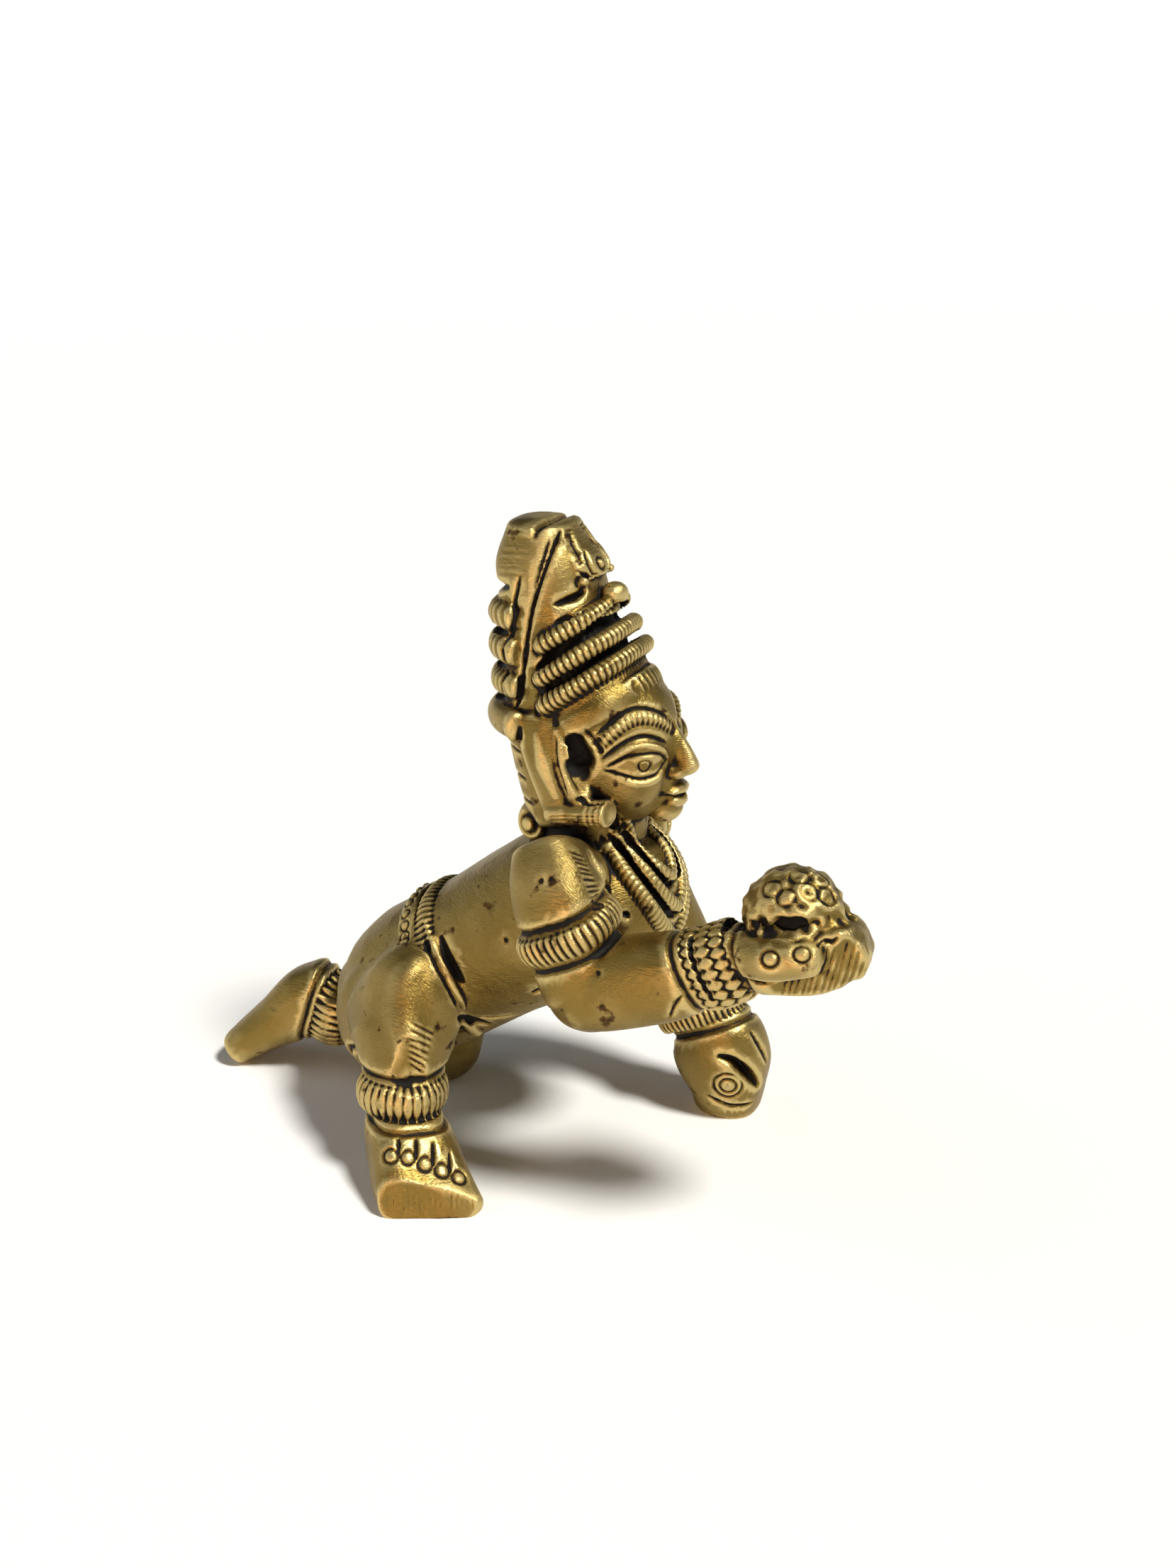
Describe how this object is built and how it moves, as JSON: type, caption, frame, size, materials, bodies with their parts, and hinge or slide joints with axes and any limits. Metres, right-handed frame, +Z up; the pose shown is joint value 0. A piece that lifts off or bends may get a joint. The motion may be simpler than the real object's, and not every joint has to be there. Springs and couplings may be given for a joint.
{
  "type": "laddu gopal idol",
  "caption": "Small cast figure of a crawling child in a tall crown, holding a ball out in the raised right hand, made to stand on a home altar shelf.",
  "frame": {"origin": "On the ground plane, under the middle of the figure's box", "axes": "+Z up through the crown, +X the way the figure crawls and faces, +Y towards the figure's left hand"},
  "size_m": [0.0818, 0.0406, 0.07],
  "materials": {
    "brass": "filed brass with dark patina"
  },
  "bodies": {
    "root": {"laddu_gopal_idol": "brass"}
  },
  "joints": []
}
